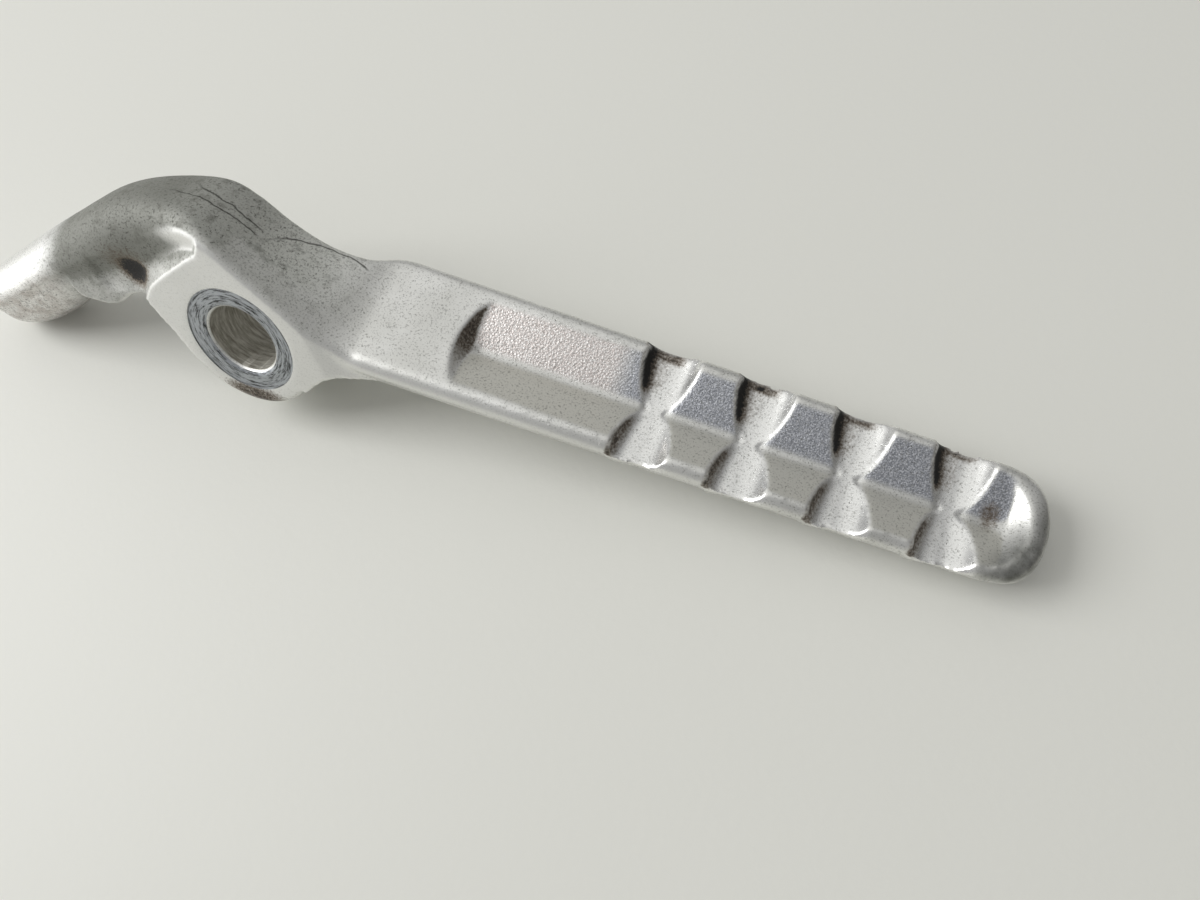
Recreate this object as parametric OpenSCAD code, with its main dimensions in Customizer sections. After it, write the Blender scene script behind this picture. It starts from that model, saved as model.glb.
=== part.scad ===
// Passenger footpeg: one light-alloy forging.
// A grooved tread bar runs into an arched neck, a pivot boss with a plain bore
// and a curved tail that ends in a rounded thumb.
// It is worked out about the pivot: X along the peg to the tip, Y along the bore,
// Z up the face of the boss. A last turn lays it down as it rests on a flat surface.

/* [Pivot boss] */

// Diameter of the pivot bore
bore_d = 12; // [8:0.1:16]
// Chamfer at both ends of the bore
bore_chamfer = 0.6; // [0:0.1:1.5]
// Diameter of the machined ring around the bore
ring_d = 19; // [17:0.1:22]
// Depth that the ring is faced below the forged cheek
ring_depth = 0.2; // [0.1:0.05:1]
// Outside diameter of the boss
boss_d = 25; // [21:0.5:32]
// Width of the arch and of the web over the boss, measured along the bore
arch_w = 15; // [10:0.5:22]
// How far the far cheek of the boss stands out past the arch
cheek_proud = 1.6; // [0:0.1:3]
// Edge break around the cheeks of the boss
boss_edge = 0.7; // [0.2:0.1:2]

/* [Tread bar] */

// Distance from the bore to the middle of the first scoop, along the peg
pivot_to_scoop = 66; // [55:0.5:80]
// Distance between neighbouring scoops
scoop_pitch = 15; // [12:0.5:20]
// Number of scoops across the tread
scoop_count = 4; // [1:1:5]
// Distance from the last scoop to the end of the tip
tip_reach = 13.6; // [11:0.5:20]
// Width of the bar where it leaves the neck
bar_w_neck = 21.3; // [16:0.2:26]
// Width of the bar just before the tip rounds off
bar_w_tip = 18.2; // [14:0.2:22]
// Height of the bar where it leaves the neck
bar_h_neck = 9.6; // [9:0.2:15]
// Height of the bar at the tip
bar_h_tip = 8.4; // [8:0.2:13]
// Sideways offset of the bar from the middle line of the groove
bar_shift = 0.3; // [0:0.05:1]
// Share of its width that the bar keeps at its underside
bar_draft = 0.88; // [0.8:0.01:1]
// Radius of the bar's lower edges
bar_r = 4; // [2:0.2:4.4]
// Radius of the bar's upper edges
bar_top_r = 2.2; // [0.8:0.1:3]
// Angle between the tread and the bore, about the length of the peg
tread_roll = 23; // [10:1:32]
// Sideways offset of the tread's middle line from the bore centre, in the tread's own plane
tread_side = 4.7; // [2:0.1:7]
// Height of the tread's top face over the bore centre, square to the tread
tread_rise = 6.4; // [4:0.1:9]

/* [Groove and scoops] */

// Width of the V groove where it meets the top face
groove_w = 16; // [12:0.5:20]
// Depth of the V groove at its valley
groove_depth = 3; // [1.5:0.1:4]
// Radius of the valley at the bottom of the groove
valley_r = 3; // [1:0.5:6]
// Distance from the start of the groove to the first scoop
groove_lead = 32.5; // [20:0.5:36]
// Radius of a scoop's floor along the peg
scoop_r = 5.1; // [4:0.1:7]
// Radius that a scoop's floor rises on towards the edges of the tread
scoop_sweep = 60; // [20:1:90]
// Depth of a scoop below the top face, at the valley
scoop_depth = 3.1; // [2:0.1:4]

/* [Arch and tail] */

// Height of the top of the arch over the bore centre
arch_rise = 18.9; // [15:0.1:24]
// Distance from the bore back to the top of the arch
arch_back = 9; // [6:0.5:14]
// Depth of the metal under the arch
arch_t = 13.5; // [10:0.5:18]
// Distance from the bore back to the end of the thumb
tail_reach = 61; // [50:0.5:78]
// Depth of the thumb's end below the bore centre
tail_drop = 17.6; // [8:0.5:24]
// Sideways set of the thumb from the middle of the arch
tail_side = 1.3; // [0:0.1:3]
// Width of the tail at the root of the thumb
tail_w = 13.4; // [9:0.2:20]
// Thickness of the tail at the root of the thumb
tail_t = 13.2; // [8:0.2:16]
// Length of the pocket in the flank of the tail
pocket_l = 16; // [8:0.5:20]
// Radius of the pocket's floor
pocket_r = 6.5; // [4:0.1:9]
// Depth of the pocket
pocket_depth = 1.8; // [0.4:0.1:3]

/* [Resting] */

// Angle that the peg is pitched by as it lies on its tip, its boss and its thumb
rest_pitch = 6.1; // [0:0.05:12]
// Angle that the tread leans sideways by as it lies
rest_lean = 1.9; // [-6:0.05:6]

/* [Hidden] */

$fn = 64;
forged = "#B9BAB5";

bore_r = bore_d/2;
boss_r = boss_d/2;
boss_w = arch_w + cheek_proud;
tread_y = tread_side*cos(tread_roll) - tread_rise*sin(tread_roll);
tread_z = tread_side*sin(tread_roll) + tread_rise*cos(tread_roll);
bar_y = tread_y + bar_shift*cos(tread_roll);
bar_z = tread_z + bar_shift*sin(tread_roll);
first_scoop = pivot_to_scoop;
last_scoop = first_scoop + (scoop_count - 1)*scoop_pitch;
tip_x = last_scoop + tip_reach;
groove_start = first_scoop - groove_lead;
arc_n = 6;
top_n = 5;

// The bar's outline closes on a flattened quarter curve over its last stretch.
tip_len = 13;
tip_steps = [0, 14, 27, 39, 50, 60, 68, 75, 81, 86];

// The neck ends here and the straight bar begins.
neck_end = 21;
// The web stops short of the far flank of the arch, and the disc of the boss stands out past it.
web_far = arch_w/2 - 1.6;

// Width and height of the bar at a share u of its run from the neck to the tip.
function bar_w(u) = bar_w_neck + (bar_w_tip - bar_w_neck)*u;
function bar_h(u) = bar_h_neck + (bar_h_tip - bar_h_neck)*u;
function bar_u(x) = (x - neck_end)/(tip_x - neck_end);

// One station: [x, y, z of the middle of the top, pitch, roll, width, height,
// radii of the near top, near bottom, far bottom and far top edges]
function bar_row(x) =
    [x, bar_y, bar_z, 0, tread_roll, bar_w(bar_u(x)), bar_h(bar_u(x)), bar_top_r, bar_r, bar_r, bar_top_r];

// Tip stations shrink from the sides by a flattened curve, and from the top and the bottom later.
function tip_row(a) =
    let (x = tip_x - tip_len + tip_len*sin(a))
    let (s = pow(1 - pow(sin(a), 5), 0.5))
    let (top = 1.9*(1 - pow(1 - pow(sin(a), 12), 0.5)))
    let (low = 4.2*(1 - pow(1 - pow(sin(a), 5), 0.5)))
    let (w = bar_w(bar_u(x))*s)
    let (h = bar_h(bar_u(x)) - top - low)
    let (most = min(h/2.2, w/2.2))
    let (rt = min(bar_top_r, most))
    let (rb = min(bar_r, most))
    [x, bar_y + top*sin(tread_roll), bar_z - top*cos(tread_roll), 0, tread_roll, w, h, rt, rb, rb, rt];

tail_line = [
    [-tail_reach, tail_side, -tail_drop - 0.7, 46, 0, 4.8, 4, 1.7, 1.7, 1.5, 1.7],
    [-tail_reach + 0.1, tail_side, -tail_drop + 1.8, 46, 0, 9.2, 8, 3.6, 3.7, 3, 3.6],
    [-tail_reach + 1.4, tail_side, -tail_drop + 4.7, 44, 0, 12.6, 10.8, 4.6, 5.2, 4, 4.6],
    [-tail_reach + 4.4, tail_side, -tail_drop + 8.4, 43, 0, 14, 12.8, 5.4, 6, 4.4, 5],
    [-tail_reach + 10, tail_side*0.8, -tail_drop + 13, 41, 0, tail_w + 0.4, tail_t - 0.2, 5.8, 6, 4.6, 4.8],
    [-42, tail_side*0.5, 2.6, 39, 0, tail_w - 0.2, tail_t - 1.2, 6, 5.2, 4.6, 4.4],
    [-34, tail_side*0.3, arch_rise - 10.3, 35, 0, tail_w, tail_t - 0.2, 6.2, 4.8, 4.4, 4],
    [-26, 0.2, arch_rise - 4.6, 26, 0, tail_w, arch_t + 2.2, 6, 4, 4, 3.6],
    [-18, 0.5, arch_rise - 1.2, 13, 0, arch_w - 2.2, arch_t + 3, 5.2, 3, 3, 2.8],
    [-arch_back, 0.45, arch_rise + 0.3, -4, 3, arch_w - 0.9, arch_t, 3, 3, 3, 2.2],
    [-3.5, 0.05, arch_rise - 1, -20, 4, arch_w - 0.2, arch_t, 1.2, 3, 3, 2],
    [2, 0.05, 14.5, -26, 6, arch_w, arch_t, 1, 3, 3, 1.8],
    [8, 0.1, 11.4, -20, 12, arch_w + 0.5, bar_h_neck + 2, 1, 3, 3, 1.8],
    [14, 0.6, 9, -10, 21, arch_w + 2.2, bar_h_neck + 1, 1.3, 3.4, 3.4, 2],
    [neck_end - 2.6, bar_y - 0.2, bar_z + 0.1, -1, tread_roll, bar_w_neck - 0.9, bar_h_neck + 0.2,
     2, bar_r, bar_r, 2.2]
];

bar_line = [for (x = [neck_end + 1 : 11 : tip_x - tip_len - 2]) bar_row(x)];
tip_line = [for (a = tip_steps) tip_row(a)];
line = concat(tail_line, bar_line, tip_line);

// Smooth curve through four neighbouring stations.
function curve(p, q, r, s, t) =
    0.5*(2*q + (r - p)*t + (2*p - 5*q + 4*r - s)*t*t + (3*q - p - 3*r + s)*t*t*t);

// Stations between the control stations; the tip keeps its own.
split = 5;
bar_from = len(tail_line);
tip_from = len(tail_line) + len(bar_line);
rows = concat(
    [for (i = [0 : bar_from - 1], k = [0 : split - 1])
        curve(line[max(i - 1, 0)], line[i], line[i + 1], line[i + 2], k/split)],
    [for (i = [bar_from : len(line) - 1]) line[i]]
);

// Points of one rounded oblong section.
function corner(w, h, r, a0) = [for (k = [0 : arc_n]) [w + r*cos(a0 + 90*k/arc_n), h + r*sin(a0 + 90*k/arc_n)]];
function oblong(w, h, rt, rb, rbf, rf) =
    let (half = w/2*bar_draft)
    concat(
        corner(w/2 - rf, h/2 - rf, rf, 0),
        [for (k = [1 : top_n - 1]) [w/2 - rf - (w - rf - rt)*k/top_n, h/2]],
        corner(-w/2 + rt, h/2 - rt, rt, 90),
        corner(-half + rb, -h/2 + rb, rb, 180),
        corner(half - rbf, -h/2 + rbf, rbf, 270)
    );

// A section set at its station: wide = across, rise = up, both turned by roll about the line.
function ring(s) =
    let (up0 = [-sin(s[3]), 0, cos(s[3])])
    let (wide = [0, cos(s[4]), 0] + up0*sin(s[4]))
    let (rise = [0, -sin(s[4]), 0] + up0*cos(s[4]))
    let (mid = [s[0], s[1], s[2]] - rise*s[6]/2)
    [for (p = oblong(s[5], s[6], s[7], s[8], s[9], s[10])) mid + wide*p[0] + rise*p[1]];

module forged_skin() {
    pts = [for (s = rows) each ring(s)];
    n = len(pts)/len(rows);
    m = len(rows);
    sides = [for (i = [0 : m - 2], j = [0 : n - 1])
        let (a = i*n + j, b = i*n + (j + 1)%n, c = a + n, d = b + n)
        each [[a, d, b], [a, c, d]]];
    ends = [[for (j = [0 : n - 1]) j], [for (j = [n - 1 : -1 : 0]) (m - 1)*n + j]];
    polyhedron(points = pts, faces = concat(sides, ends), convexity = 6);
}

// Cylinder along the bore with broken edges.
module cheek_disc(r, w, edge) {
    rotate([90, 0, 0])
    rotate_extrude()
    polygon([
        [0, -w/2],
        [r - edge, -w/2],
        [r, -w/2 + edge],
        [r, w/2 - edge],
        [r - edge, w/2],
        [0, w/2]
    ]);
}

// Web between the boss and the arch; its lower corners run tangent into the boss.
// A ramp takes its near face back into the side of the bar.
module web() {
    difference() {
        rotate([90, 0, 0])
        translate([0, 0, -web_far])
        linear_extrude(height = arch_w/2 + web_far)
        polygon([
            [-9.8, -7.7],
            [-13, -3.3],
            [-16.5, 0.6],
            [-17.2, 2],
            [-15.7, 4.9],
            [-12.4, 8.2],
            [-8.1, 12],
            [-5.6, 14],
            [-4.6, 16.2],
            [-0.6, 14.3],
            [5.5, 10.5],
            [9, 8.4],
            [12, 6.2],
            [15, 4.4],
            [18.4, 2.8],
            [23, 1.6],
            [27, 0.6],
            [23.5, -0.2],
            [20, -0.6],
            [17, -1.2],
            [14.6, -2.6],
            [12.9, -4.4],
            [11.3, -6.4]
        ]);
        translate([11, -arch_w/2, 7.4])
        rotate([-5.3, 0, 11.1])
        translate([-5, -20, -30])
        cube([40, 20, 60]);
    }
}

// Slope between the web's tail end and the flank of the tail, like the blend that a die leaves.
module web_slope() {
    hull() {
        translate([0, -arch_w/2 + 0.15, 0])
        rotate([90, 0, 0])
        linear_extrude(height = 0.1)
        polygon([[-16.6, 2], [-15.3, 4.8], [-12, 8.1], [-5.8, 13.6], [-4, 4]]);
        translate([0, -tail_w/2 + 1.4, 0])
        rotate([90, 0, 0])
        linear_extrude(height = 0.1)
        polygon([[-19.2, 2], [-17.6, 5.8], [-13.6, 10.8], [-6.4, 16.6], [-4, 4], [-9, -4]]);
    }
}

// Lower flange of the tail, between the root of the thumb and the web.
module tail_flange() {
    rotate([90, 0, 0])
    translate([0, 0, -tail_w/2 + 1.2])
    linear_extrude(height = tail_w - 2.3)
    polygon([
        [-35, -3],
        [-33, -4.8],
        [-31, -4.6],
        [-28.6, -4.4],
        [-26, -3.6],
        [-24.2, -2.4],
        [-22, -0.3],
        [-19.8, 0.9],
        [-17.4, 0.6],
        [-13, 2],
        [-13, 8],
        [-24, 8],
        [-34, 1]
    ]);
}

// V groove with a rounded valley, closed by a sloping round wall at each end.
module groove() {
    a = atan(2*groove_depth/groove_w);
    g = groove_w/2;
    intersection() {
        translate([groove_start - 4, 0, 0])
        rotate([90, 0, 90])
        linear_extrude(height = tip_x - groove_start + 4)
        polygon(concat(
            [[-g - 8, 8*tan(a)], [-g, 0]],
            [for (k = [-1 : 0.25 : 1]) [valley_r*sin(a*k)*1.6, -groove_depth + 0.5 + valley_r*(1 - cos(a*k))]],
            [[g, 0], [g + 8, 8*tan(a)]]
        ));
        union() {
            hull() {
                translate([groove_start + 13.5, 0, -groove_depth - 1])
                cylinder(h = groove_depth + 1.02, r1 = 10.6, r2 = 13.5, $fn = 96);
                translate([tip_x - 11.5, 0, -groove_depth - 1])
                cylinder(h = groove_depth + 1.02, r1 = 4, r2 = 8.6, $fn = 96);
            }
        }
    }
}

// Scoops across the tread: each floor is a fat ring's underside, so it rises to a low lip at both edges.
module scoops() {
    for (i = [0 : scoop_count - 1])
        translate([first_scoop + i*scoop_pitch, 0, scoop_sweep - scoop_depth])
        rotate([0, 90, 0])
        rotate_extrude($fn = 120)
        translate([scoop_sweep - scoop_r, 0])
        circle(r = scoop_r, $fn = 48);
}

module on_tread() {
    translate([0, tread_y, tread_z])
    rotate([tread_roll, 0, 0])
    children();
}

// Bore with chamfered mouths, and the faced ring on each cheek.
module pivot_cuts() {
    translate([0, cheek_proud/2, 0])
    rotate([90, 0, 0])
    cylinder(h = boss_w + 2, r = bore_r, center = true, $fn = 128);
    for (side = [-1, 1])
        translate([0, cheek_proud/2, 0])
        rotate([side*90, 0, 0])
        translate([0, 0, boss_w/2 - ring_depth]) {
            cylinder(h = 3, r = ring_d/2, $fn = 128);
            translate([0, 0, -bore_chamfer])
            cylinder(h = bore_chamfer, r1 = bore_r, r2 = bore_r + bore_chamfer, $fn = 128);
        }
}

// Shallow pocket in the near flank of the tail, beside the web.
module flank_pocket() {
    sunk = pocket_r - pocket_depth;
    reach = pocket_l - 2*sqrt(pocket_r*pocket_r - sunk*sunk);
    translate([-22.4, -tail_w/2 - sunk, 3.4])
    rotate([0, -22, 0]) {
        translate([-reach/2, 0, 0])
        sphere(r = pocket_r);
        rotate([0, 90, 0])
        cylinder(h = reach, r = pocket_r, center = true);
        translate([reach/2, 0, 0])
        sphere(r = pocket_r);
    }
}

module peg_forging() {
    color(forged)
    rotate([-tread_roll - rest_lean, rest_pitch, 0])
    translate([0, -cheek_proud/2, 0])
    difference() {
        union() {
            difference() {
                union() {
                    forged_skin();
                    tail_flange();
                }
                flank_pocket();
            }
            web();
            web_slope();
            translate([0, cheek_proud/2, 0])
            cheek_disc(boss_r, boss_w, boss_edge);
        }
        pivot_cuts();
        on_tread() groove();
        on_tread() scoops();
    }
}

peg_forging();
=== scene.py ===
"""Passenger footpeg: one light-alloy forging, lying on a pale table."""
from math import radians

import bmesh
import bpy
import numpy as np
from mathutils import Euler, Matrix, Vector


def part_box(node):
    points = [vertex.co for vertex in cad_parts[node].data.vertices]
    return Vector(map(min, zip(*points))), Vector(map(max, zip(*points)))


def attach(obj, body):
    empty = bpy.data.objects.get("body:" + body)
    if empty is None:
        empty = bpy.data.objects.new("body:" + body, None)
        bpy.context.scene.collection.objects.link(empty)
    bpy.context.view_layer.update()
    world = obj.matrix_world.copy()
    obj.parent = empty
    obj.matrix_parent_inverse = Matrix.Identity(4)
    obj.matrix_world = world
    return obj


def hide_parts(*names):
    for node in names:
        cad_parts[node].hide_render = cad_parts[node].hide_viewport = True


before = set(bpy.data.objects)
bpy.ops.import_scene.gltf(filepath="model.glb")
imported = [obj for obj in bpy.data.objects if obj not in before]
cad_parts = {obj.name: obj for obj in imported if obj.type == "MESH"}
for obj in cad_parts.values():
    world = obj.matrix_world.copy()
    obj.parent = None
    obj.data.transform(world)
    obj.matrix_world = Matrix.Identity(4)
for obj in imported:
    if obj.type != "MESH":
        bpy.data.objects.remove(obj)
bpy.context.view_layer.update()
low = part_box("peg_forging")[0]

MM = 0.001

# How the forging lies: the tread's own axes and the pivot's, as turns about X and then Y.
TREAD_TURN = Euler((radians(-1.9), radians(6.1), 0.0))
PIVOT_TURN = Euler((radians(-24.9), radians(6.1), 0.0))
# Middle of the first scoop on the tread's top face.
TREAD_START = Vector((66.325, 4.184, -0.473)) * MM

# Softening of the forging: grid of the rebuilt surface in mm, then how far and how often
# each point moves towards its neighbours.
GRID = 0.39
SOFTEN_SHARE = 0.5
SOFTEN_ROUNDS = 6
# Edges that turn by more than this many degrees stay sharp.
SHARP_ANGLE = 38

# Sizes of the machined pivot, in mm.
BORE_R = 6.0
RING_R = 9.5
CHEEK = 8.3
RING_DEPTH = 0.2
CHAMFER = 0.6
# The chamfer's cutter runs this far past both ends of the chamfer.
CHAMFER_SPARE = 0.9
CUT_LENGTH = 40.0

# Sizes of the scoops, in mm: spacing, round of the floor and full depth. In the valley they
# are only a little deeper than the groove, and they deepen as its flanks rise.
SCOOP_PITCH = 15.0
SCOOP_R = 5.1
SCOOP_DEPTH = 3.1
VALLEY_STEP = 0.2
FLANK_RISE = 0.36

# What the sharpened tread loses, in mm: the valley's depth and its spread, and the scoops'
# floors on the side of the pivot and on the side of the tip.
VALLEY_DEPTH = 0.42
VALLEY_SPREAD = 1.3
FLATTER_TO_PIVOT = 0.75
FLATTER_TO_TIP = 0.12

# Dirt and painted shade by spots, in mm: middle, reach along each axis, and how thick it lies.
# On the tread it sits at the scoops' far and near rims and in the tip's bowl.
TREAD_DIRT = (
    ((-3.8, 8.6, -0.8), (1.5, 0.9, 0.9), 1.0),
    ((11.4, 8.5, -1.0), (1.2, 0.9, 0.9), 0.8),
    ((13.8, 9.0, -2.2), (1.7, 1.0, 1.0), 1.0),
    ((26.0, 8.5, -0.6), (1.0, 0.8, 0.8), 0.8),
    ((29.2, 9.5, -2.2), (2.0, 0.8, 0.9), 1.0),
    ((41.6, 8.8, -1.2), (1.0, 0.8, 0.8), 0.8),
    ((43.8, 9.1, -2.2), (1.3, 0.8, 0.9), 0.9),
    ((-3.3, -7.1, -1.4), (1.6, 1.2, 1.2), 0.85),
    ((11.6, -8.0, -1.2), (1.4, 1.0, 1.0), 0.75),
    ((26.9, -7.6, -1.5), (1.4, 1.0, 1.0), 0.75),
    ((41.2, -8.0, -0.8), (1.4, 1.0, 1.0), 0.8),
    ((50.4, 1.2, -2.4), (2.4, 4.0, 1.6), 0.62),
)
# About the pivot: grime with painted shade in the tail's pocket, painted shade thinly round it,
# and dirt with painted shade under the boss.
PIVOT_DIRT_AND_SHADE = (
    ((-20.0, -5.9, 5.2), (5.6, 3.8, 4.6), 1.0),
    ((-21.0, -5.8, 6.5), (8.0, 3.8, 6.5), 0.5),
    ((1.5, -8.2, -10.8), (10.0, 3.0, 3.6), 0.72),
)

# Creases over the arch, in mm in the pivot's own axes: middle and radius of each arc, and
# where along the peg it starts and ends.
CREASES = (
    ((-6.5, 44.0, 0.0), 45.1, -15.0, 0.8),
    ((-3.6, 21.5, 0.0), 21.0, -12.0, 0.8),
    ((12.9, -7.4, 0.0), 13.4, 1.0, 16.0),
)

ZONES = ("polish_and_thumb_highlight", "arch_dulling", "far_flank_bright_reflection", "far_flank_dark_reflection", "near_flank",
         "dirt_and_shade_zone", "tip_shade", "clean_cheek", "thumb_side_shade", "rubbed_edge",
         "concave_corner")

# Half the width of the table, in metres.
TABLE_HALF = 1.6


def linear(code, alpha=1.0):
    """Linear colour of an sRGB hex value."""
    parts = [int(code[i:i + 2], 16) / 255 for i in (1, 3, 5)]
    return [p / 12.92 if p <= 0.04045 else ((p + 0.055) / 1.055) ** 2.4
            for p in parts] + [alpha]


def add(tree, kind, feeds=None, **settings):
    """Add a node; feeds maps its sockets to values or to the outputs that drive them.

    MapRange takes its value at 0, the range that it comes in at 1 and 2, and the range that
    it leaves in at 3 and 4. Mix takes its share at 0 and its two numbers at 2 and 3.
    """
    node = tree.nodes.new("ShaderNode" + kind)
    for name, value in settings.items():
        setattr(node, name, value)
    for socket, value in (feeds or {}).items():
        if isinstance(value, bpy.types.NodeSocket):
            tree.links.new(value, node.inputs[socket])
        else:
            node.inputs[socket].default_value = value
    return node


def blank_material(name):
    """Empty material with its node tree, ready for a surface."""
    made = bpy.data.materials.new(name)
    made.use_nodes = True
    made.node_tree.nodes.clear()
    return made, made.node_tree


def piece(name, shape):
    """Object that holds the shape at the origin."""
    mesh = bpy.data.meshes.new(name)
    shape.to_mesh(mesh)
    shape.free()
    thing = bpy.data.objects.new(name, mesh)
    bpy.context.scene.collection.objects.link(thing)
    return thing


def apply_modifiers(thing):
    """Bake every modifier of the piece into its mesh."""
    graph = bpy.context.evaluated_depsgraph_get()
    baked = bpy.data.meshes.new_from_object(thing.evaluated_get(graph))
    thing.modifiers.clear()
    thing.data = baked


def forge_skin():
    """Soft-edged forging: the solid's own shape with the blends that a die leaves."""
    shape = bmesh.new()
    shape.from_mesh(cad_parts["peg_forging"].data)
    bmesh.ops.remove_doubles(shape, verts=shape.verts, dist=0.002 * MM)
    skin = piece("forged_peg", shape)
    grid = skin.modifiers.new("grid", "REMESH")
    grid.mode = "VOXEL"
    grid.voxel_size = GRID * MM
    soften = skin.modifiers.new("soften", "SMOOTH")
    soften.factor = SOFTEN_SHARE
    soften.iterations = SOFTEN_ROUNDS
    apply_modifiers(skin)
    return skin


def disc(radius, length, middle, radius_end=None):
    """Round cutter along the bore, its middle the given distance towards the far cheek."""
    shape = bmesh.new()
    bmesh.ops.create_cone(shape, cap_ends=True, segments=160, radius1=radius * MM,
                          radius2=(radius if radius_end is None else radius_end) * MM,
                          depth=length * MM)
    bmesh.ops.rotate(shape, verts=shape.verts, matrix=Matrix.Rotation(radians(-90), 3, "X"))
    bmesh.ops.translate(shape, verts=shape.verts, vec=(0, middle * MM, 0))
    bmesh.ops.rotate(shape, verts=shape.verts, matrix=PIVOT_TURN.to_matrix())
    return shape


def cut(thing, shapes, operation="DIFFERENCE"):
    """Cut shapes out of a piece, or join them on, and bake the result."""
    tools = [piece("cutter", shape) for shape in shapes]
    for tool in tools:
        step = thing.modifiers.new("cut", "BOOLEAN")
        step.operation = operation
        step.solver = "EXACT"
        step.object = tool
    apply_modifiers(thing)
    for tool in tools:
        bpy.data.objects.remove(tool)


def machine_pivot(skin):
    """Fill the softened bore, then bore, chamfer and face it crisply."""
    cut(skin, [disc(RING_R - 0.6, 2 * (CHEEK - 0.5), 0)], "UNION")
    face = CHEEK - RING_DEPTH
    facing_cut = 3.0
    wide = BORE_R + CHAMFER + CHAMFER_SPARE
    narrow = BORE_R + CHAMFER - CHAMFER_SPARE
    cut(skin, [
        disc(RING_R, facing_cut, -face - facing_cut / 2),
        disc(RING_R, facing_cut, face + facing_cut / 2),
        disc(BORE_R, CUT_LENGTH, 0),
        disc(wide, 2 * CHAMFER_SPARE, -face, narrow),
        disc(narrow, 2 * CHAMFER_SPARE, face, wide),
    ])


def climb(value, start, end):
    """Smooth step from 0 at start to 1 at end; start may lie above end."""
    t = np.clip((value - start) / (end - start), 0.0, 1.0)
    return t * t * (3.0 - 2.0 * t)


def near_to(spots, middle, reach):
    """0 at the reach from a middle in mm, rising to 1 over its inner quarter."""
    return climb(np.linalg.norm((spots - middle) / reach, axis=1), 1.0, 0.25)


def read_skin(skin, what):
    """Places or normals of the piece's vertices, one row each."""
    kept = np.empty(len(skin.data.vertices) * 3)
    skin.data.vertices.foreach_get(what, kept)
    return kept.reshape(-1, 3)


def scoop_outline(x, y):
    """Place along the nearest scoop's round, its depth and half its width there, in mm."""
    cell = (x + SCOOP_PITCH / 2) % SCOOP_PITCH - SCOOP_PITCH / 2
    deep = np.clip(VALLEY_STEP + FLANK_RISE * np.abs(y), VALLEY_STEP, SCOOP_DEPTH)
    return cell, deep, np.sqrt(2 * SCOOP_R * deep - deep ** 2)


def sharpen_tread(skin):
    """Bring back what the softening took from the tread: a tight valley, and flat floors
    under steep walls."""
    place = read_skin(skin, "co")
    axes = np.array(TREAD_TURN.to_matrix())
    x, y, z = ((place - np.array(TREAD_START)) @ axes / MM).T
    inside = climb(z, -0.3, -0.8) * climb(np.abs(y), 13.0, 9.0)
    inside *= climb(x, -30.5, -29.0) * climb(x, 53.0, 50.0)
    cell, deep, half = scoop_outline(x, y)
    share = np.clip((cell / half) ** 2, 0.0, 1.0)
    in_scoop = climb(x, -7.2, -6.0) * climb(share, 1.0, 0.9)
    flatten = np.where(cell < 0, FLATTER_TO_PIVOT, FLATTER_TO_TIP) * deep / SCOOP_DEPTH
    flatten = flatten * 4 * share * (1 - share) * in_scoop
    valley = VALLEY_DEPTH * np.exp(-(y / VALLEY_SPREAD) ** 2)
    valley *= 1 - in_scoop * climb(share, 1.0, 0.3)
    place -= np.outer(inside * (flatten + valley) * MM, axes[:, 2])
    skin.data.vertices.foreach_set("co", place.ravel())
    skin.data.update()


def surface_bend(skin, place, facing):
    """Bend at each vertex, from its neighbours: over 0 on edges, under 0 in corners."""
    ends = np.empty(len(skin.data.edges) * 2, dtype=np.int64)
    skin.data.edges.foreach_get("vertices", ends)
    a, b = ends.reshape(-1, 2).T
    count = len(place)
    shared = np.bincount(np.concatenate((a, b)), minlength=count)
    lean = place[b] - place[a]
    bend = (np.bincount(a, -np.sum(lean * facing[a], axis=1), count)
            + np.bincount(b, np.sum(lean * facing[b], axis=1), count)) / shared / MM
    for _ in range(3):
        around = np.bincount(a, bend[b], count) + np.bincount(b, bend[a], count)
        bend = 0.5 * bend + 0.5 * around / shared
    return bend


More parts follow.
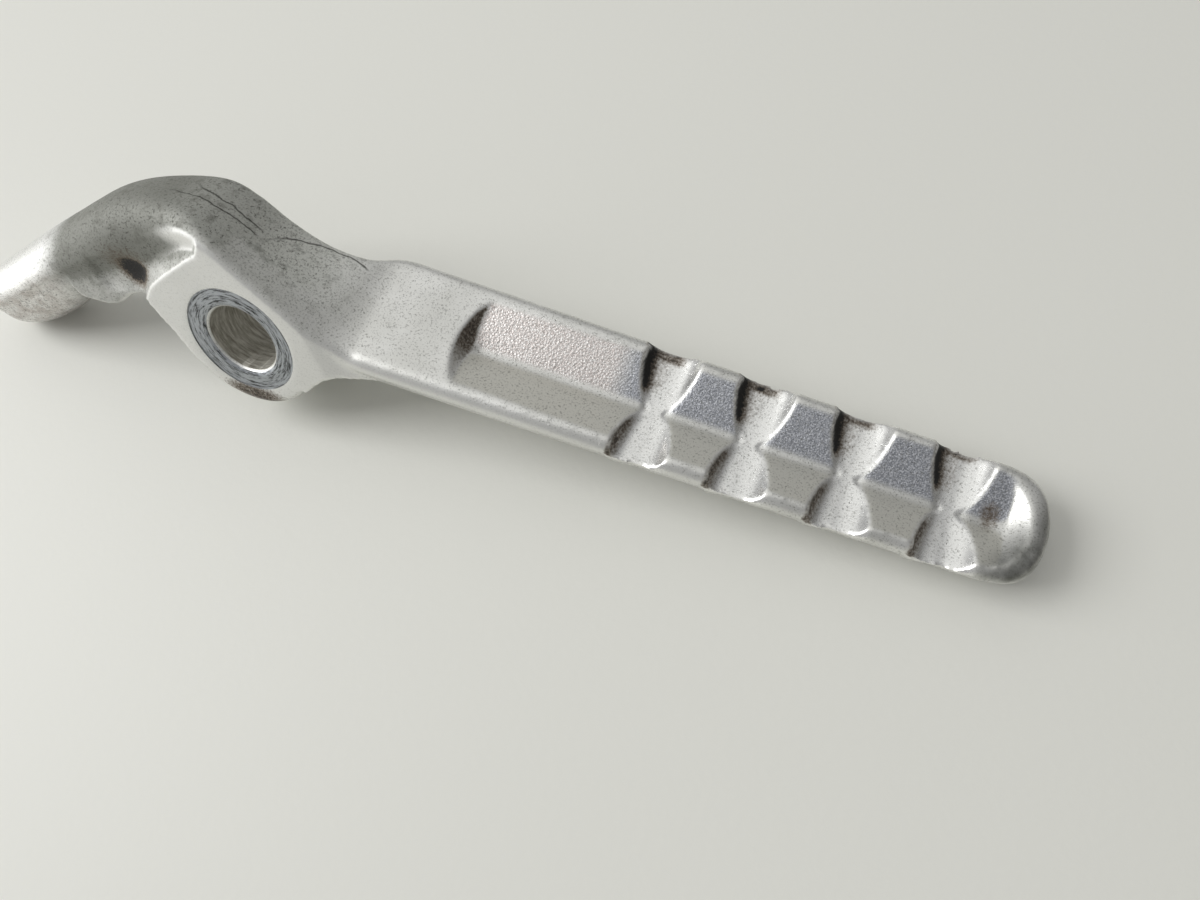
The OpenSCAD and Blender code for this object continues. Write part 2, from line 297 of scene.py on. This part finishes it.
def mark_zones(skin):
    """Keep on the piece where each finish lies, one number a vertex from 0 to 1."""
    place = read_skin(skin, "co")
    facing = read_skin(skin, "normal")
    tread_axes = np.array(TREAD_TURN.to_matrix())
    pivot_axes = np.array(PIVOT_TURN.to_matrix())
    tread = (place - np.array(TREAD_START)) @ tread_axes / MM
    pivot = place @ pivot_axes / MM
    along, across, up = (facing @ tread_axes).T
    x, y, z = tread.T
    bend = surface_bend(skin, place, facing)

    # The scoops are narrow in the valley and widen towards the rims.
    cell, _, half = scoop_outline(x, y)
    below_top = climb(z, -0.05, -0.35)
    scoop = climb(np.abs(cell), half + 0.3, half - 0.3) * below_top * climb(up, 0.05, 0.25)
    scoop *= climb(x, -7.0, -6.0) * climb(x, 52.0, 51.0)

    # The groove's flanks by the way that they face, and its end wall at the neck.
    groove = climb(x, -46.0, -38.0) * below_top * (1 - scoop)
    level = climb(np.abs(along), 0.4, 0.2)
    far_flank = groove * climb(across, -0.1, -0.25) * level
    far_flank *= climb(y, 8.2, 7.4) * climb(y, 0.0, 1.2)
    near_flank = groove * climb(across, 0.1, 0.25) * level
    near_flank *= climb(y, -8.2, -7.4) * climb(y, 0.0, -1.2)
    end_wall = groove * climb(along, 0.25, 0.5) * climb(x, -24.0, -27.0)
    # Painted shade on the tip, deepest on its lower near side.
    tip = climb(x - 0.5 * y, 52.0, 57.5) * climb(z, -2.6, -1.0)
    tip *= 0.55 + 0.45 * climb(y, 3.0, -6.0)

    # About the pivot: the near cheek, the tail's lower flange, the arch and the thumb.
    length_way, depth_way, height_way = pivot.T
    cheek = climb(depth_way, -6.6, -7.3) * climb(length_way, -17.5, -15.5)
    # Only faces that look out along the bore count as cheek; the flank beside it, which turns
    # away, keeps the darker arch film as painted shade.
    cheek *= climb(-(facing @ pivot_axes)[:, 1], 0.84, 0.95)
    flange = climb(height_way - 0.55 * (length_way + 30.0), 2.0, -1.0)
    flange *= climb(depth_way, -2.0, -4.0)
    arch = climb(length_way, -48.0, -32.0) * climb(length_way, 22.0, 4.0)
    arch *= (1 - cheek) * (1 - 0.5 * flange)
    thumb = climb(length_way, -34.0, -43.0)

    # Dirt with painted shade on the scoops' walls on the side of the pivot, painted shade thinly
    # over their far halves, dirt on the far rim over them, the spots, and dirt on the end wall.
    dirt_and_shade = 0.72 * scoop * climb(cell, -0.35 * half, -0.9 * half) * climb(np.abs(y), 1.0, 3.5)
    dirt_and_shade += 0.42 * scoop * climb(cell, 0.6 * half, -0.5 * half) * climb(y, 1.0, 4.5)
    far_rim = climb(y, 7.4, 8.8) * climb(z, -0.1, -0.8) * climb(z, -4.0, -3.2)
    far_rim *= climb(x, -6.0, -5.0) * climb(x, 49.0, 47.0)
    far_rim *= climb(cell, 3.4, 0.5) * climb(cell, -5.5, -4.5)
    dirt_and_shade = np.maximum(dirt_and_shade, 0.7 * far_rim)
    for where, spots in ((tread, TREAD_DIRT), (pivot, PIVOT_DIRT_AND_SHADE)):
        for middle, reach, strength in spots:
            dirt_and_shade = np.maximum(dirt_and_shade, strength * near_to(where, middle, reach))
    dirt_and_shade = np.maximum(dirt_and_shade, 0.7 * end_wall * climb(y, -7.0, 1.0))

    found = {
        # The thumb shares the scoops' pale polish; on its top this is a painted highlight as
        # well.
        "polish_and_thumb_highlight": np.maximum(scoop, 0.8 * thumb),
        "arch_dulling": arch,
        # Painted reflections on the far flank: bright before the first scoop, dark after it.
        "far_flank_bright_reflection": far_flank * climb(x, -4.0, -9.0),
        "far_flank_dark_reflection": far_flank * climb(x, -9.0, -4.0),
        "near_flank": near_flank,
        "dirt_and_shade_zone": dirt_and_shade,
        "tip_shade": tip,
        "clean_cheek": cheek,
        # Painted shade on the thumb's sides, deeper where they turn away from the top.
        "thumb_side_shade": thumb * climb(facing[:, 2], 0.75, 0.2),
        "rubbed_edge": climb(bend, 0.012, 0.04),
        # Concave corners, which the finish makes darker.
        "concave_corner": climb(bend, -0.012, -0.04),
    }
    for name in ZONES:
        skin.data.attributes.new(name, "FLOAT", "POINT").data.foreach_set("value", found[name])


skin = forge_skin()
sharpen_tread(skin)
machine_pivot(skin)
mark_zones(skin)
skin.data.shade_smooth()
skin.data.set_sharp_from_angle(angle=radians(SHARP_ANGLE))
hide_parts("peg_forging")
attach(skin, "root")


def forged_alloy():
    """Shot-blasted aluminium forging. The metal is satin with a fine grain. Weather dulled
    and pitted it over the arch, boots polished the scoops and the thumb, whose top is also a
    painted highlight, and dirt with painted shade sits in its hollows and concave corners."""
    made, tree = blank_material("forged_aluminium")
    coords = add(tree, "TexCoord").outputs["Object"]
    mm = add(tree, "VectorMath", {0: coords, "Scale": 1 / MM}, operation="SCALE").outputs[0]
    pivot = add(tree, "Mapping", {"Vector": coords, "Rotation": PIVOT_TURN,
                                  "Scale": (MM, MM, MM)}, vector_type="TEXTURE").outputs["Vector"]
    pivot_xyz = add(tree, "SeparateXYZ", {"Vector": pivot}).outputs
    polish_and_highlight, arch, far_bright_reflection, far_dark_reflection, near, dirt_and_shade, tip, cheek, thumb, rubbed_edge, corner = (
        add(tree, "Attribute", attribute_name=name).outputs["Fac"] for name in ZONES)

    # Patterns by size: blasted grain 0.3 mm, specks 0.4 mm, glints 0.2 mm, blots 2 mm and
    # clouds of handling 9 mm.
    grain, specks, glints, blots = (
        add(tree, "TexNoise", {"Vector": mm, "Scale": scale, "Detail": detail,
                               "Roughness": roughness}).outputs["Fac"]
        for scale, detail, roughness in ((3.2, 3.0, 0.6), (2.5, 4.0, 0.72), (4.5, 1.0, 0.8),
                                         (0.45, 5.0, 0.62)))
    cloud = add(tree, "TexNoise", {"Vector": mm, "Scale": 0.11, "Detail": 3.0}).outputs["Fac"]

    # Bare metal, clouded by handling.
    clouded = add(tree, "MapRange", {0: cloud, 1: 0.36, 2: 0.64}).outputs[0]
    tone = add(tree, "MixRGB", {"Fac": clouded, "Color1": linear("#EAEAE7"),
                                "Color2": linear("#DCDCD8")}).outputs[0]

    # Grey film over the arch with a ragged border. Its tone runs from dark at the tail to light
    # at the neck: painted light and shade that even out how the lamps fall on it.
    ragged = add(tree, "Math", {0: blots, 1: 0.5, 2: arch}, operation="MULTIPLY_ADD").outputs[0]
    ragged = add(tree, "MapRange", {0: ragged, 1: 0.35, 2: 1.1}).outputs[0]
    painted_light_to_neck = add(tree, "MapRange", {0: pivot_xyz["X"], 1: -14.0, 2: 6.0}).outputs[0]
    film_with_painted_light = add(tree, "MixRGB", {"Fac": painted_light_to_neck, "Color1": linear("#868780"),
                                "Color2": linear("#D6D7D1")}).outputs[0]

    # The far flanks carry painted reflections, bright and pinkish in the long groove and dark and
    # bluish after it, strewn with painted glints like crystals.
    lit = add(tree, "MapRange", {0: glints, 1: 0.42, 2: 0.64}).outputs[0]
    warm = add(tree, "MixRGB", {"Fac": lit, "Color1": linear("#D6CDC9"),
                                "Color2": linear("#FCFAF8")}).outputs[0]
    cool = add(tree, "MixRGB", {"Fac": lit, "Color1": linear("#9C9FA6"),
                                "Color2": linear("#DCDEE4")}).outputs[0]

    # Painted shade: the tip is darker in scuff-like blots, most on its lower near side, and the
    # thumb's sides are darker where they turn away from the top.
    shaded_tip = add(tree, "MapRange", {0: blots, 1: 0.3, 2: 0.65, 3: 0.5, 4: 1.0}).outputs[0]
    shaded_tip = add(tree, "Math", {0: tip, 1: shaded_tip}, operation="MULTIPLY").outputs[0]
    thumb_shade = add(tree, "MapRange", {0: blots, 1: 0.4, 2: 0.6, 3: 0.35, 4: 0.9}).outputs[0]
    thumb_shade = add(tree, "Math", {0: thumb, 1: thumb_shade}, operation="MULTIPLY").outputs[0]
    flecks = add(tree, "MapRange", {0: grain, 1: 0.54, 2: 0.68, 4: 0.6}).outputs[0]

    # Dark specks: dense over the arch and the thumb, few on the clean metal.
    few = add(tree, "MapRange", {0: specks, 1: 0.6, 2: 0.66}).outputs[0]
    gathered = add(tree, "MapRange", {0: blots, 1: 0.44, 2: 0.6}).outputs[0]
    few = add(tree, "Math", {0: few, 1: gathered}, operation="MULTIPLY").outputs[0]
    many = add(tree, "MapRange", {0: specks, 1: 0.55, 2: 0.63}).outputs[0]
    exposed = add(tree, "Math", {0: arch, 1: thumb}, operation="MAXIMUM").outputs[0]
    pits = add(tree, "Mix", {0: exposed, 2: few, 3: many}).outputs[0]
    pitted = add(tree, "Math", {0: pits, 1: 0.75}, operation="MULTIPLY").outputs[0]
    matted = add(tree, "MapRange", {0: blots, 1: 0.54, 2: 0.66, 4: 0.5}).outputs[0]
    matted = add(tree, "Math", {0: matted, 1: arch}, operation="MULTIPLY").outputs[0]
    wiped = add(tree, "Math", {0: cheek, 1: 0.75}, operation="MULTIPLY").outputs[0]

    # Dirt and painted shade, darker in concave corners: brown where it is thin, black where it is
    # packed, with a ragged edge.
    dirt_and_shade = add(tree, "Math", {0: corner, 1: 0.16, 2: dirt_and_shade}, operation="MULTIPLY_ADD").outputs[0]
    laid = add(tree, "Math", {0: specks, 1: 1.1, 2: dirt_and_shade}, operation="MULTIPLY_ADD").outputs[0]
    brown_dirt_and_shade = add(tree, "MapRange", {0: laid, 1: 0.78, 2: 1.25, 4: 0.9}).outputs[0]
    black_dirt_and_shade = add(tree, "MapRange", {0: laid, 1: 1.2, 2: 1.45}).outputs[0]

    # Fine wandering creases that the die left over the arch, near arcs in the pivot's plane.
    wander = add(tree, "TexNoise", {"Vector": mm, "Scale": 0.3, "Detail": 3.0}).outputs["Color"]
    wander = add(tree, "VectorMath", {0: wander, "Scale": 1.6}, operation="SCALE").outputs[0]
    wander = add(tree, "VectorMath", {0: wander, 1: (0.8, 0.8, 0.8)},
                 operation="SUBTRACT").outputs[0]
    astray = add(tree, "VectorMath", {0: pivot, 1: wander}, operation="ADD").outputs[0]
    plan = add(tree, "VectorMath", {0: astray, 1: (1.0, 1.0, 0.0)},
               operation="MULTIPLY").outputs[0]
    on_top = add(tree, "MapRange", {0: pivot_xyz["Z"], 1: 8.5, 2: 9.5}).outputs[0]
    creases = 0.0
    for middle, radius, first, last in CREASES:
        away = add(tree, "VectorMath", {0: plan, 1: middle},
                   operation="DISTANCE").outputs["Value"]
        aside = add(tree, "Math", {0: away, 1: radius}, operation="SUBTRACT").outputs[0]
        aside = add(tree, "Math", {0: aside}, operation="ABSOLUTE").outputs[0]
        line = add(tree, "MapRange", {0: aside, 1: 0.2, 2: 0.06}).outputs[0]
        for start, full in ((first, first + 3.0), (last, last - 1.0)):
            run = add(tree, "MapRange", {0: pivot_xyz["X"], 1: start, 2: full}).outputs[0]
            line = add(tree, "Math", {0: line, 1: run}, operation="MULTIPLY").outputs[0]
        line = add(tree, "Math", {0: line, 1: on_top}, operation="MULTIPLY").outputs[0]
        creases = add(tree, "Math", {0: creases, 1: line}, operation="MAXIMUM").outputs[0]
    drawn = add(tree, "Math", {0: creases, 1: 0.8}, operation="MULTIPLY").outputs[0]

    # Machined pivot: a faced ring scored round by the washer, a bright chamfer and a
    # stained bore.
    flat = add(tree, "VectorMath", {0: pivot, 1: (1.0, 0.0, 1.0)},
               operation="MULTIPLY").outputs[0]
    radius = add(tree, "VectorMath", {0: flat}, operation="LENGTH").outputs["Value"]
    depth = add(tree, "Math", {0: pivot_xyz["Y"]}, operation="ABSOLUTE").outputs[0]
    in_bore = add(tree, "MapRange", {0: radius, 1: BORE_R + 0.08, 2: BORE_R + 0.03}).outputs[0]
    in_ring = add(tree, "MapRange", {0: radius, 1: RING_R + 0.05, 2: RING_R - 0.05}).outputs[0]
    past_lip = add(tree, "MapRange", {0: radius, 1: BORE_R + 0.3, 2: BORE_R + 0.36}).outputs[0]
    at_face = add(tree, "MapRange", {0: depth, 1: 7.3, 2: 7.5}).outputs[0]
    ring = add(tree, "Math", {0: in_ring, 1: past_lip}, operation="MULTIPLY").outputs[0]
    ring = add(tree, "Math", {0: ring, 1: at_face}, operation="MULTIPLY").outputs[0]
    round_way = add(tree, "VectorMath", {0: flat}, operation="NORMALIZE").outputs[0]
    round_way = add(tree, "VectorMath", {0: round_way, "Scale": 1.2},
                    operation="SCALE").outputs[0]
    out_way = add(tree, "CombineXYZ", {"Y": radius}).outputs[0]
    track = add(tree, "VectorMath", {0: round_way, 1: out_way}, operation="ADD").outputs[0]
    scores = add(tree, "TexNoise", {"Vector": track, "Scale": 3.0, "Detail": 4.0,
                                    "Roughness": 0.7}).outputs["Fac"]
    worn_scores = add(tree, "MapRange", {0: scores, 1: 0.46, 2: 0.64}).outputs[0]
    ring_tone = add(tree, "MixRGB", {"Fac": worn_scores, "Color1": linear("#AEB2B6"),
                                     "Color2": linear("#323332")}).outputs[0]
    in_way = add(tree, "CombineXYZ", {"Y": pivot_xyz["Y"]}).outputs[0]
    hoop_way = add(tree, "VectorMath", {0: round_way, 1: in_way}, operation="ADD").outputs[0]
    hoops = add(tree, "TexNoise", {"Vector": hoop_way, "Scale": 2.0, "Detail": 4.0,
                                   "Roughness": 0.65}).outputs["Fac"]
    stained = add(tree, "MapRange", {0: hoops, 1: 0.36, 2: 0.64}).outputs[0]
    bore_tone = add(tree, "MixRGB", {"Fac": stained, "Color1": linear("#D6D4CC"),
                                     "Color2": linear("#98948A")}).outputs[0]

    # Worn edges are brighter than the faces beside them, but not in the ring.
    rubbed = add(tree, "MapRange", {0: grain, 1: 0.34, 2: 0.56, 3: 0.3, 4: 0.8}).outputs[0]
    edge = add(tree, "Math", {0: rubbed_edge, 1: rubbed}, operation="MULTIPLY").outputs[0]
    bare = add(tree, "MapRange", {0: radius, 1: RING_R, 2: RING_R + 1.0}).outputs[0]
    edge = add(tree, "Math", {0: edge, 1: bare}, operation="MULTIPLY").outputs[0]

    # Each finish lies over the ones before it.
    for share, colour in (
        (ragged, film_with_painted_light), (far_bright_reflection, warm), (far_dark_reflection, cool), (near, linear("#DEDDD5")),
        (shaded_tip, linear("#70716C")), (polish_and_highlight, linear("#F7F7F5")),
        (thumb_shade, linear("#BDB6B1")), (flecks, linear("#7C7C75")),
        (pitted, linear("#47463E")), (matted, linear("#66665E")), (wiped, linear("#E6E6E3")),
        (brown_dirt_and_shade, linear("#6A5C4B")), (black_dirt_and_shade, linear("#0D0B09")), (drawn, linear("#2C2B25")),
        (ring, ring_tone), (in_bore, bore_tone), (edge, linear("#F0EFEB")),
    ):
        tone = add(tree, "MixRGB", {"Fac": share, "Color1": tone, "Color2": colour}).outputs[0]

    # Sheen: the polished places are glossiest, the dulled arch and the dirt and painted shade
    # least.
    rough = 0.4
    for share, value in ((arch, 0.6), (polish_and_highlight, 0.27), (near, 0.5), (tip, 0.45), (ring, 0.36),
                         (edge, 0.3), (brown_dirt_and_shade, 0.7)):
        rough = add(tree, "Mix", {0: share, 2: rough, 3: value}).outputs[0]
    uneven = add(tree, "MapRange", {0: grain, 1: 0.3, 2: 0.7, 3: -0.06, 4: 0.07}).outputs[0]
    rough = add(tree, "Math", {0: rough, 1: uneven}, operation="ADD").outputs[0]

    # Relief: blasted grain, crystals of 0.4 mm on the far flanks, pits, creases and scores.
    calm = add(tree, "MapRange", {0: polish_and_highlight, 3: 0.4, 4: 0.12}).outputs[0]
    relief = add(tree, "Math", {0: grain, 1: calm}, operation="MULTIPLY").outputs[0]
    far = add(tree, "Math", {0: far_bright_reflection, 1: far_dark_reflection}, operation="ADD").outputs[0]
    crystals = add(tree, "TexVoronoi", {"Vector": mm, "Scale": 2.7}).outputs["Distance"]
    relief = add(tree, "Mix", {0: far, 2: relief, 3: crystals}).outputs[0]
    dents = add(tree, "Math", {0: pits, 1: creases}, operation="MAXIMUM").outputs[0]
    scored = add(tree, "Math", {0: ring, 1: scores}, operation="MULTIPLY").outputs[0]
    for mark, height in ((dents, -0.8), (scored, 0.8)):
        relief = add(tree, "Math", {0: mark, 1: height, 2: relief},
                     operation="MULTIPLY_ADD").outputs[0]
    bump = add(tree, "Bump", {"Height": relief, "Strength": 0.4, "Distance": 0.12 * MM})

    # The film over the arch scatters light as much as it mirrors it.
    metal = add(tree, "MapRange", {0: ragged, 3: 0.88, 4: 0.3}).outputs[0]
    metal = add(tree, "Mix", {0: black_dirt_and_shade, 2: metal, 3: 0.0}).outputs[0]
    surface = add(tree, "BsdfPrincipled", {
        "Base Color": tone,
        "Metallic": metal,
        "Roughness": rough,
        "Normal": bump.outputs["Normal"],
    })
    add(tree, "OutputMaterial", {"Surface": surface.outputs["BSDF"]})
    return made


skin.data.materials.clear()
skin.data.materials.append(forged_alloy())


def table_top():
    """Painted table: pale satin paint with a faint ripple of about a millimetre, so that the
    floor isn't dead flat to the eye."""
    made, tree = blank_material("table_paint")
    coords = add(tree, "TexCoord").outputs["Object"]
    ripple = add(tree, "TexNoise", {"Vector": coords, "Scale": 0.9 / MM, "Detail": 3.0})
    bump = add(tree, "Bump", {"Height": ripple.outputs["Fac"], "Strength": 0.12,
                              "Distance": 0.2 * MM})
    surface = add(tree, "BsdfPrincipled", {
        "Base Color": linear("#E9E9E2"),
        "Roughness": 0.5,
        "Normal": bump.outputs["Normal"],
    })
    add(tree, "OutputMaterial", {"Surface": surface.outputs["BSDF"]})
    return made


shape = bmesh.new()
bmesh.ops.create_grid(shape, x_segments=1, y_segments=1, size=TABLE_HALF)
bmesh.ops.translate(shape, verts=shape.verts, vec=(0.0, 0.0, low.z))
table = piece("table", shape)
table.data.materials.append(table_top())


def soft_room():
    """Room light by direction: dim walls, a darker right side, a broad bright ceiling behind
    and to the left, and a low bright pane at the left."""
    world = bpy.data.worlds.new("room")
    world.use_nodes = True
    room = world.node_tree
    way = add(room, "TexCoord").outputs["Generated"]
    air = linear("#9A9A9A")
    for towards, start, full, colour in (
        ((0.966, 0.17, 0.19), 0.6, 0.98, "#605F5D"),
        ((-0.383, 0.321, 0.866), 0.67, 0.95, "#E4E4E2"),
        ((-0.92, -0.39, 0.06), 0.82, 0.96, "#FFFFFF"),
    ):
        near_way = add(room, "VectorMath", {0: way, 1: towards},
                       operation="DOT_PRODUCT").outputs["Value"]
        share = add(room, "MapRange", {0: near_way, 1: start, 2: full},
                    interpolation_type="SMOOTHSTEP").outputs[0]
        air = add(room, "MixRGB", {"Fac": share, "Color1": air,
                                   "Color2": linear(colour)}).outputs[0]
    room.links.new(air, room.nodes["Background"].inputs["Color"])
    room.nodes["Background"].inputs["Strength"].default_value = 1.0
    return world


bpy.context.scene.world = soft_room()


def lamp(name, place, size, power):
    """Soft white oblong lamp at a place in metres, turned to face the pivot."""
    light = bpy.data.lights.new(name, "AREA")
    light.shape = "RECTANGLE"
    light.size, light.size_y = size
    light.energy = power
    light.color = linear("#FFFFFF")[:3]
    thing = bpy.data.objects.new(name, light)
    thing.location = place
    thing.rotation_euler = (-Vector(place)).to_track_quat("-Z", "Y").to_euler()
    bpy.context.scene.collection.objects.link(thing)


lamp("window", (-0.956, -0.221, 0.853), (0.8, 0.8), 10.0)
lamp("low_pane", (-1.1, -0.46, 0.16), (0.9, 0.4), 1.5)

# The camera stands where the photograph was taken from, in metres.
view = bpy.data.cameras.new("camera")
view.sensor_width = 36.0
view.lens = 26.1
view.clip_start = 0.005
eye = bpy.data.objects.new("camera", view)
eye.location = (0.09307, -0.04800, 0.11556)
eye.rotation_euler = (radians(23.602), radians(7.054), radians(21.273))
bpy.context.scene.collection.objects.link(eye)
bpy.context.scene.camera = eye
bpy.context.scene.view_settings.view_transform = "Standard"
